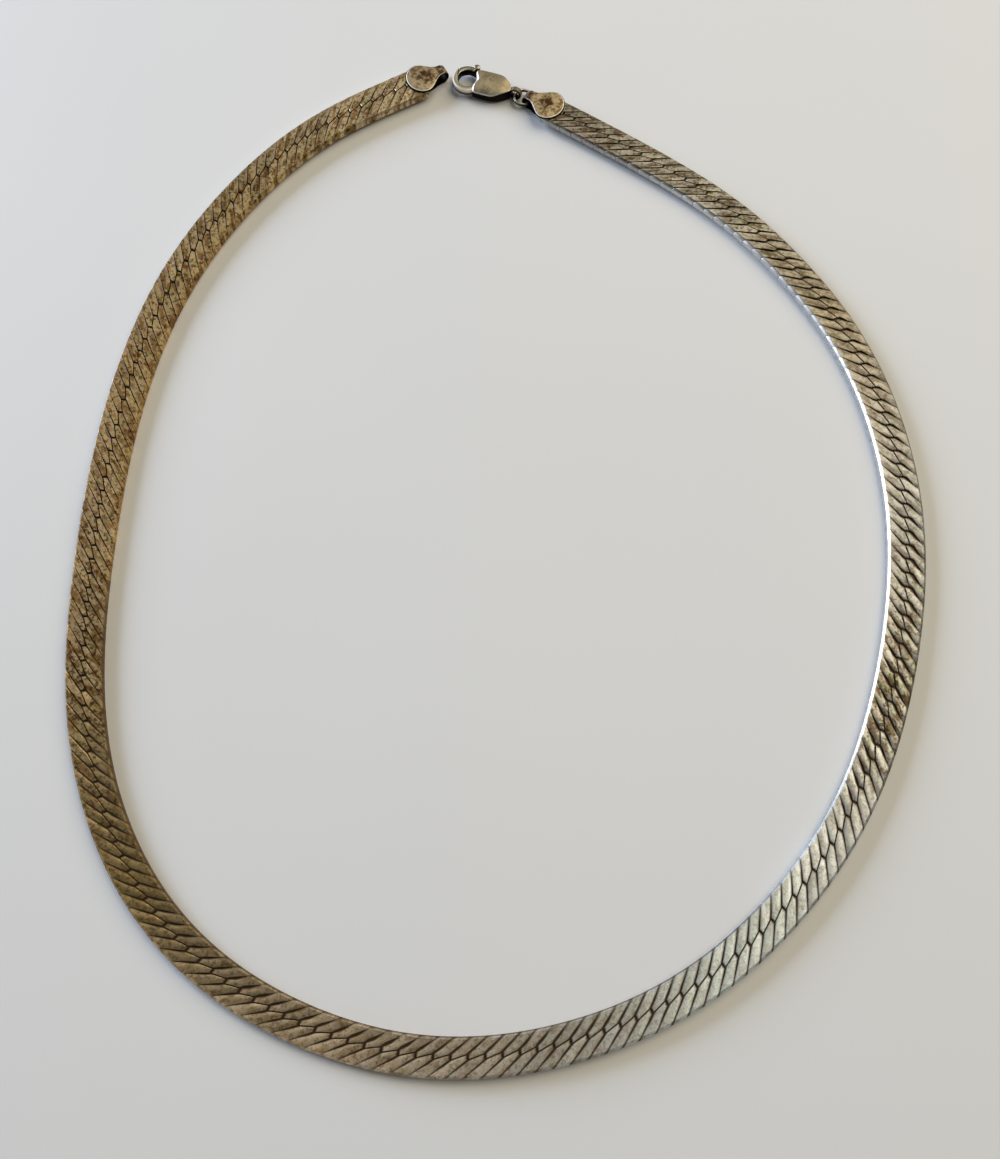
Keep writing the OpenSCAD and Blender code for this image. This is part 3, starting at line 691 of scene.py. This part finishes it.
def eyeRing(radius, inner, width, edge, steps=40):
    # ring about the Y axis: a rounded rectangle carried round a circle, resting on the table; painted
    # shade inside and a little painted highlight on its outer face
    profile = np.array([
        (inner, -width / 2 + edge), (inner + edge * 0.5, -width / 2), (radius - edge, -width / 2),
        (radius, -width / 2 + edge), (radius, width / 2 - edge), (radius - edge, width / 2),
        (inner + edge * 0.5, width / 2), (inner, width / 2 - edge)])
    around = circle(1, steps=steps)[:, None]
    r, y = (np.broadcast_to(column, (steps, len(profile))) for column in profile.T)
    points = np.stack([around[..., 0] * r, y, around[..., 1] * r + radius], -1)
    return closedShell(points, rubbedAndHighlit=np.array([0, 0, 0, 0.25, 0.25, 0, 0, 0]),
                       sootAndShade=np.array([1, 1, 0.8, 0.2, 0.2, 0.8, 1, 1]), rust=0.9, closeRows=True)


def placed(shell, origin, turn):
    # turns a local shape about Z and moves it to its place on the route, in metres of the part's frame
    c, s = math.cos(turn), math.sin(turn)
    x, y, z = shell["points"].T
    return {**shell, "points": toPart(np.stack([c * x - s * y, s * x + c * y], -1) + origin, z)}


def buildCap(name, node, at, way):
    # pad over the band, tongue under it, the eye that the sheet is folded round, and a barrel between
    # the two leaves; the tongue and the barrel are painted dark all over as shade
    turn = math.atan2(way[1], way[0])
    origin = at - cap["foldToBand"] * way
    outline = circle(cap["barrelRadius"], steps=16) + (cap["foldToBand"], 0)
    ends = (0.2, capHeight - 0.3)
    barrel = np.stack([np.column_stack([outline, np.full(16, end)]) for end in ends])
    shells = [
        leafShell(capHeight, capHeight - cap["sheet"], cap["padReach"], cap["padWidth"], cap["dome"]),
        leafShell(0.0, cap["sheet"], cap["tongueReach"], cap["tongueWidth"], 0.0, hidden=True),
        eyeRing(foldRadius, foldRadius - cap["sheet"], cap["neckWidth"], cap["eyeEdge"]),
        closedShell(barrel, sootAndShade=1.0)]
    piece = meshPiece(name, [placed(shell, origin, turn) for shell in shells], capSilver,
                      "necklace", 35)
    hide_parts(node)
    return origin


buildCap("capLeft", "end_cap_left", alongBand(0.0), aheadOnBand(0.0))
rightFold = buildCap("capRight", "end_cap_right", alongBand(bandLength), -aheadOnBand(bandLength))

print("jump ring")
ring = {
    "radius": 1.65,        # mm, to the wire's middle
    "wire": 0.6,
    "height": 0.95,        # mm from the table to the wire's middle
    "turn": 149.0,         # degrees, the way from the cap over the ring to the clasp
    "seamAt": 60.0,        # degrees, where the ring was cut and closed
}


def ringReach(hole):
    # a wire ring rests with its middle this far from the middle of a hole of that length
    return (ring["radius"] + math.sqrt(ring["radius"] ** 2 - (hole / 2) ** 2)) / 2


ringWay = wayAt(ring["turn"])
ringAt = rightFold + ringReach(cap["neckWidth"]) * ringWay


def torusShell(radius, wire, height, stepsRound=56, stepsWire=14):
    # the wire's circle carried round the ring: radius plus wire radius times a cosine, turned by a. A
    # shallow groove marks where the ring was cut and closed
    a = np.linspace(0, 2 * math.pi, stepsRound, endpoint=False)[:, None]
    b = np.linspace(0, 2 * math.pi, stepsWire, endpoint=False)[None, :]
    away = np.abs((a - math.radians(ring["seamAt"]) + math.pi) % (2 * math.pi) - math.pi)
    r = wire / 2 * (1 - 0.25 * np.exp(-(away / 0.05) ** 2))
    points = np.stack([(radius + r * np.cos(b)) * np.cos(a), (radius + r * np.cos(b)) * np.sin(a),
                       r * np.sin(b) + height + 0 * a], -1)
    # painted highlight along the top, painted shade at the sides
    rubbedAndHighlit, sootAndShade = np.clip(1.6 * np.sin(b) - 0.7, 0, 1), np.clip(0.75 - np.sin(b), 0, 1)
    return closedShell(points, rubbedAndHighlit=rubbedAndHighlit, sootAndShade=sootAndShade, closeRows=True)


ringShell = placed(torusShell(ring["radius"], ring["wire"], ring["height"]), ringAt, 0.0)
jumpRing = meshPiece("jumpRing", [ringShell], wireSilver, "necklace", 60)
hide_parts("jump_ring")

print("clasp")
# the clasp lies along its own X axis with its tail eye at 0: mm, and degrees about the hook's middle
clasp = {
    "length": 12.0,
    "bodyWidth": 5.4,
    "bodyThick": 2.4,
    "crown": 0.6,          # how far the leaf's top falls to its sides
    "leafStart": 0.9,      # from the tail eye
    "hookRadius": 2.85,
    "hookBand": 1.1,       # width of the hook's bar
    "hookLow": 0.6,        # its underside above the table, and its top
    "hookHigh": 1.95,
    "hookTurn": 138.0,     # where it leaves the leaf
    "hookChamfer": 0.34,
    "eyeRadius": 0.8,      # bore of the tail eye
    "tailWidth": 1.1,
    "turn": 162.6,         # of the whole clasp, seen from above
    "lapTurn": -24.0,      # where the lever meets the hook
    "lapGap": 0.07,
    "rivetFrom": (-2.3, -1.7),   # the rivet, from the hook's middle
    "rivetRadius": 0.4,
    "knuckle": 1.15,       # radius of the leaf's end round the rivet
    "slotHeight": 0.95,
    "rootTurn": -20.0,     # the lever's arm, from the rivet to its bar
    "leverFrom": -108.0,   # the two ends of the lever's bar
    "leverTo": 22.0,
    "leverInset": 0.1,     # how much narrower and lower it is than the hook's
    "leverChamfer": 0.25,
    "nubRadius": 0.6,
    # the two bevels below are rubbed bright and carry a painted highlight
    "endBevel": 0.46,      # the bright bevel round the hollow end of the leaf
    "rimBevel": 0.14,      # the same along its sides
}
eyeAt = ringAt + ringReach(clasp["tailWidth"]) * ringWay
hookX = clasp["length"] - clasp["hookRadius"]
hookIn = clasp["hookRadius"] - clasp["hookBand"]
hookAt = np.array([hookX, 0])
eyeZ = clasp["bodyThick"] / 2 - 0.05
pivot = hookAt + clasp["rivetFrom"]
lapAt = hookAt + (clasp["hookRadius"] - clasp["hookBand"] / 2) * wayAt(clasp["lapTurn"])
lapRadius = float(np.linalg.norm(lapAt - pivot))
slotLow = (clasp["hookLow"] + clasp["hookHigh"]) / 2 - clasp["slotHeight"] / 2 - 0.2
slotHigh = slotLow + clasp["slotHeight"]


def bodyHalf(x):
    # half width of the leaf: from the tail's half width, up by a sine to the full width, then constant
    start, end = clasp["leafStart"], hookX - 1.4
    full = start + 0.52 * (end - start)
    grow = np.sin(math.pi / 2 * np.clip((x - start) / (full - start), 0, 1)) ** 0.9
    return clasp["tailWidth"] / 2 + (clasp["bodyWidth"] - clasp["tailWidth"]) / 2 * grow


def bodyOutline():
    # the leaf's edge seen from above, counter-clockwise, and how much of each part is the hollow end:
    # lower side, knuckle round the rivet, hollow end, shoulder of the hook, upper side
    lowerX = np.linspace(clasp["leafStart"], pivot[0], 16)
    upperX = np.linspace(hookX - 2.4, clasp["leafStart"], 15)
    shoulderAt = np.array([hookX - 2.0, clasp["bodyWidth"] / 2 - 0.75])
    parts = [
        (np.stack([lowerX, -bodyHalf(lowerX)], 1), 0, 0),
        (pivot + circle(clasp["knuckle"], -62, 30, 9, False), 0, 1),
        (hookAt + circle(hookIn, 194, 143, 9, False), 1, 1),
        (shoulderAt + circle(0.75, 10, 90, 6, False) * (0.83, 1), 1, 0.1),
        (np.stack([upperX, bodyHalf(upperX)], 1), 0, 0)]
    ending = np.concatenate([np.linspace(first, last, len(points)) for points, first, last in parts])
    rim = np.concatenate([points for points, first, last in parts])
    # tumbling wore the corners between the parts round
    for _ in range(4):
        rim[16:40] = (rim[15:39] + 2 * rim[16:40] + rim[17:41]) / 4
    return rim, ending


def crownTop(flat):
    # flat along the middle, falling with the fourth power of the distance from it, and towards the tail
    across = flat[..., 1] / (clasp["bodyWidth"] / 2)
    tailFall = 0.3 * (1 - smoothStep((flat[..., 0] - clasp["leafStart"]) / 1.8))
    return clasp["bodyThick"] - clasp["crown"] * (0.15 * across ** 2 + 0.85 * across ** 4) - tailFall


def bodyShell():
    # rings from the spine out over the crown, down the bevel and the wall, and back underneath: each
    # point is the spine's plus a share of the way to the rim. The bevel and rim are rubbed bright with a
    # painted highlight, and the wall and underside carry painted shade
    rim, ending = bodyOutline()
    spine = np.stack([np.clip(rim[:, 0], 1.5, hookX - 3.2), 0 * rim[:, 1]], 1)
    length = np.linalg.norm(rim - spine, axis=1)
    bevel = clasp["rimBevel"] + (clasp["endBevel"] - clasp["rimBevel"]) * ending
    shares = np.array([0.02, 0.35, 0.65, 0.88, 0.985])[:, None] * (1 - bevel / length)
    inset = 1 - np.array([1.0, 0.85, 0.1])[:, None] * bevel / length
    rimRow, underRows = np.ones((3, len(rim))), np.array([0.95, 0.6, 0.02])[:, None] * np.ones(len(rim))
    reach = np.concatenate([shares, inset, rimRow, underRows])[..., None]
    flat = spine + reach * (rim - spine)
    drop = np.array([0, 0, 0, 0, 0, 0, 0.08, 0.85, 1.0, 1.5])[:, None] * (0.1 + 0.26 * ending)
    top = crownTop(flat[:10]) - drop
    under = 0.7 * clasp["crown"] * (flat[10:, :, 1] / (clasp["bodyWidth"] / 2)) ** 2
    under[0] += 0.12
    z = np.concatenate([top, under])
    return closedShell(np.concatenate([flat, z[..., None]], -1),
                       rubbedAndHighlit=np.array([0, 0, 0, 0, 0, 0.2, 1, 1, 1, 0, 0, 0, 0, 0])[:, None],
                       sootAndShade=np.array([0, 0, 0, 0, 0, 0, 0, 0, 0.1, 1, 1, 0.6, 0.3, 0.3])[:, None])


# a bar's section, counter-clockwise from the lower end of its inner wall: which side, which level, and
# the shares of the chamfer that the point stands back from each
barSection = np.array([
    (-1, -1, 0, 1), (-1, -1, 0.3, 0.3), (-1, -1, 1, 0), (1, -1, 1, 0), (1, -1, 0.3, 0.3), (1, -1, 0, 1),
    (1, 1, 0, 1), (1, 1, 0.3, 0.3), (1, 1, 1, 0), (-1, 1, 1, 0), (-1, 1, 0.3, 0.3), (-1, 1, 0, 1)])


def barShell(angles, inner, outer, low, high, chamfer, taper, highlightShare):
    # chamfered bar swept round the hook's middle: its radius and height are the middle's plus or minus
    # half the bar, less the chamfer's share. The taper lowers the section towards the free ends
    side, level, backIn, backDown = barSection.T
    mid, half = (inner + outer)[:, None] / 2, (outer - inner)[:, None] / 2
    edge = np.minimum(chamfer, 0.8 * half) * taper[:, None]
    r = mid + side * (half - backIn * edge)
    z = (low + high) / 2 + level * ((high - low) / 2 * taper[:, None] - backDown * edge)
    points = np.stack([hookX + r * np.cos(angles)[:, None], r * np.sin(angles)[:, None], z], -1)
    # painted highlight along the outer top edge, scaled by the highlight share; painted shade underneath
    # and on the inner wall
    rubbedAndHighlit = np.array([0, 0, 0, 0, 0, 0.2, 0.7, 1, 0.4, 0, 0, 0]) * highlightShare
    sootAndShade = np.array([1, 1, 1, 1, 1, 0.8, 0.1, 0, 0, 0, 0.5, 1])
    return closedShell(points, rubbedAndHighlit=rubbedAndHighlit, sootAndShade=sootAndShade)


def lapReach(angles, radius):
    # distance from the hook's middle, at each angle, to the circle of that radius about the rivet
    away = hookAt - pivot
    dot = away[0] * np.cos(angles) + away[1] * np.sin(angles)
    return -dot + np.sqrt(np.maximum(0, dot ** 2 - away @ away + radius ** 2))


def endTaper(angles, span, least):
    # up a quarter circle from the least to 1, over the last of the sweep at both ends, in degrees
    fromEnd = np.minimum(angles - angles.min(), angles.max() - angles) / math.radians(span)
    return least + (1 - least) * np.sqrt(1 - (1 - np.clip(fromEnd, 0, 1)) ** 2)


def plateShell(outline, low, high, edge):
    # flat plate of a given outline with a chamfered edge, in rings: the middle plus a share of the way
    # out; painted dark all over as shade
    mid = outline.mean(0)
    rings = [(0.02, high), (0.8, high), (1 - edge, high), (1, high - edge),
             (1, low + edge), (1 - edge, low), (0.02, low)]
    points = np.stack([np.column_stack([mid + share * (outline - mid), np.full(len(outline), level)])
                       for share, level in rings])
    return closedShell(points, sootAndShade=1.0)


def knobShell(at, radius, low, high, dome):
    # turned knob: straight side, then a dome that falls with the square of the share of its radius;
    # painted shade on its side and underneath
    profile = [(0.02, high), (0.5, high - 0.25 * dome), (0.8, high - 0.64 * dome),
               (0.95, high - 0.9 * dome), (1.0, high - dome - 0.08), (1.0, low + 0.06), (0.9, low),
               (0.02, low)]
    rings = [np.column_stack([circle(radius * share) + at, np.full(24, level)])
             for share, level in profile]
    return closedShell(np.stack(rings), sootAndShade=np.array([0, 0, 0, 0.1, 0.9, 1, 1, 1])[:, None])


hookAngles = np.radians(np.linspace(clasp["lapTurn"] - 14, clasp["hookTurn"] + 6, 48))
lapSide = lapReach(hookAngles, lapRadius + clasp["lapGap"] / 2)
lapInner = np.where(hookAngles < math.radians(60), lapSide, 0)
hookInner = np.minimum(np.maximum(hookIn, lapInner), clasp["hookRadius"] - 0.08)
hookTaper = np.where(hookAngles < math.radians(40), endTaper(hookAngles, 4, 0.93), 1.0)
neck = np.stack([np.column_stack([np.full(16, x), circle(1, steps=16) * (half, high) + (0, 1.05)])
                 for x, half, high in ((0.85, 0.5, 0.8), (1.2, 0.62, 0.85), (1.9, 0.9, 0.9))])
claspShells = [
    bodyShell(),
    barShell(hookAngles, hookInner, np.full(hookAngles.shape, clasp["hookRadius"]), clasp["hookLow"],
             clasp["hookHigh"], clasp["hookChamfer"], hookTaper, 1.0),
    eyeRing(eyeZ, clasp["eyeRadius"], clasp["tailWidth"], 0.16, 36),
    closedShell(neck)]
claspTurn = math.radians(clasp["turn"])
placedBody = [placed(shell, eyeAt, claspTurn) for shell in claspShells]
claspBody = meshPiece("claspBody", placedBody, claspSilver, "necklace", 35)
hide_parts("clasp_body")

leverAngles = np.radians(np.linspace(clasp["leverFrom"], clasp["leverTo"], 40))
leverInner = np.full(leverAngles.shape, hookIn + clasp["leverInset"])
leverOuter = np.minimum(clasp["hookRadius"], lapReach(leverAngles, lapRadius - clasp["lapGap"] / 2))
rootLow, rootHigh = slotLow + 0.12, slotHigh - 0.12
rootWay = wayAt(clasp["rootTurn"])
rootSide = np.array([-rootWay[1], rootWay[0]])
rootOutline = np.array([pivot - 0.5 * rootSide, pivot + 2.0 * rootWay - 0.55 * rootSide,
                        pivot + 2.0 * rootWay + 0.55 * rootSide, pivot + 0.5 * rootSide])
nubAt = np.array([hookX - 0.75, -clasp["hookRadius"] - 0.35])
leverTaper = endTaper(leverAngles, 4, 0.93)
leverShells = [
    barShell(leverAngles, leverInner, np.maximum(leverOuter, leverInner + 0.2),
             clasp["hookLow"] - clasp["leverInset"], clasp["hookHigh"], clasp["leverChamfer"],
             leverTaper, 0.3),
    plateShell(pivot + circle(0.85), rootLow, rootHigh, 0.08),
    plateShell(rootOutline, rootLow, rootHigh, 0.06),
    knobShell(nubAt, clasp["nubRadius"], clasp["hookLow"], clasp["hookLow"] + 1.25, 0.22)]
placedLever = [placed(shell, eyeAt, claspTurn) for shell in leverShells]
claspLever = meshPiece("claspLever", placedLever, leverSilver, "lever", 35)
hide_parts("clasp_lever")

rivet = placed(knobShell(pivot, clasp["rivetRadius"], 0.05, 2.22, 0.12), eyeAt, claspTurn)
leverRivet = meshPiece("leverRivet", [rivet], leverSilver, "necklace", 50)
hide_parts("lever_pin")

print("table, light and camera")


def mattePaintedTable():
    # eggshell-painted board: diffuse, a faint cloudiness 7 cm wide
    material, tree, shader, coords = startMaterial("mattePaintedTable")
    cloud = addNode(tree, "ShaderNodeTexNoise", links={"Vector": coords},
                    Scale=noiseScale(71.43), Detail=3.0)
    tint = addNode(tree, "ShaderNodeMix", colourMix, {"Factor": cloud.outputs["Fac"]})
    tint.inputs["A"].default_value = hexToLinear("#e2e3e3")
    tint.inputs["B"].default_value = hexToLinear("#e7e8e8")
    tree.links.new(tint.outputs["Result"], shader.inputs["Base Color"])
    shader.inputs["Roughness"].default_value = 0.62
    return material


tableMesh = bpy.data.meshes.new("table")
halfTable = 1.2    # metres
corners = [(x * halfTable, y * halfTable, 0) for x, y in ((-1, -1), (1, -1), (1, 1), (-1, 1))]
tableMesh.from_pydata(corners, [], [(0, 1, 2, 3)])
tableMesh.materials.append(mattePaintedTable())
table = bpy.data.objects.new("table", tableMesh)
bpy.context.scene.collection.objects.link(table)


def areaLight(name, place, target, size, watts, colour):
    # a rectangle of light that faces its target, in metres
    light = bpy.data.lights.new(name, "AREA")
    light.shape = "RECTANGLE"
    light.size, light.size_y = size
    light.energy = watts
    light.color = hexToLinear(colour)[:3]
    lamp = bpy.data.objects.new(name, light)
    lamp.location = place
    x, y, z = np.array(target) - np.array(place)
    lamp.rotation_euler = (math.atan2(math.hypot(x, y), -z), 0, math.atan2(y, x) - math.pi / 2)
    bpy.context.scene.collection.objects.link(lamp)


# a low cool window at the upper left and the warm lit room overhead, as the long tan shadows tell
areaLight("lowWindow", (-0.98, 0.63, 0.38), (0, 0.05, 0), (0.75, 0.5), 19.0, "#d6e5ff")
areaLight("roomAbove", (0.55, 0.45, 0.75), (0.05, 0.08, 0), (1.1, 1.1), 8.6, "#fff1d4")

world = bpy.data.worlds.new("room")
bpy.context.scene.world = world
world.use_nodes = True
world.node_tree.nodes["Background"].inputs["Color"].default_value = hexToLinear("#f4f4f0")
world.node_tree.nodes["Background"].inputs["Strength"].default_value = 0.13
bpy.context.scene.view_settings.view_transform = "Standard"

# the photo is 1000 x 1159 pixels, taken 164 mm above the table and 19.9 degrees from straight down
photo = {"widthPx": 1000, "focalPx": 1125, "heightMm": 164.0, "leanDegrees": 19.9, "sensorMm": 36.0}
cameraData = bpy.data.cameras.new("photoCamera")
cameraData.sensor_width = photo["sensorMm"]
cameraData.sensor_fit = "HORIZONTAL"
cameraData.lens = photo["focalPx"] / photo["widthPx"] * photo["sensorMm"]
cameraData.clip_start, cameraData.clip_end = 0.005, 10
camera = bpy.data.objects.new("photoCamera", cameraData)
camera.location = (-middle[0] * mm, -middle[1] * mm, photo["heightMm"] * mm)
camera.rotation_euler = (math.radians(photo["leanDegrees"]), 0, 0)
bpy.context.scene.collection.objects.link(camera)
bpy.context.scene.camera = camera
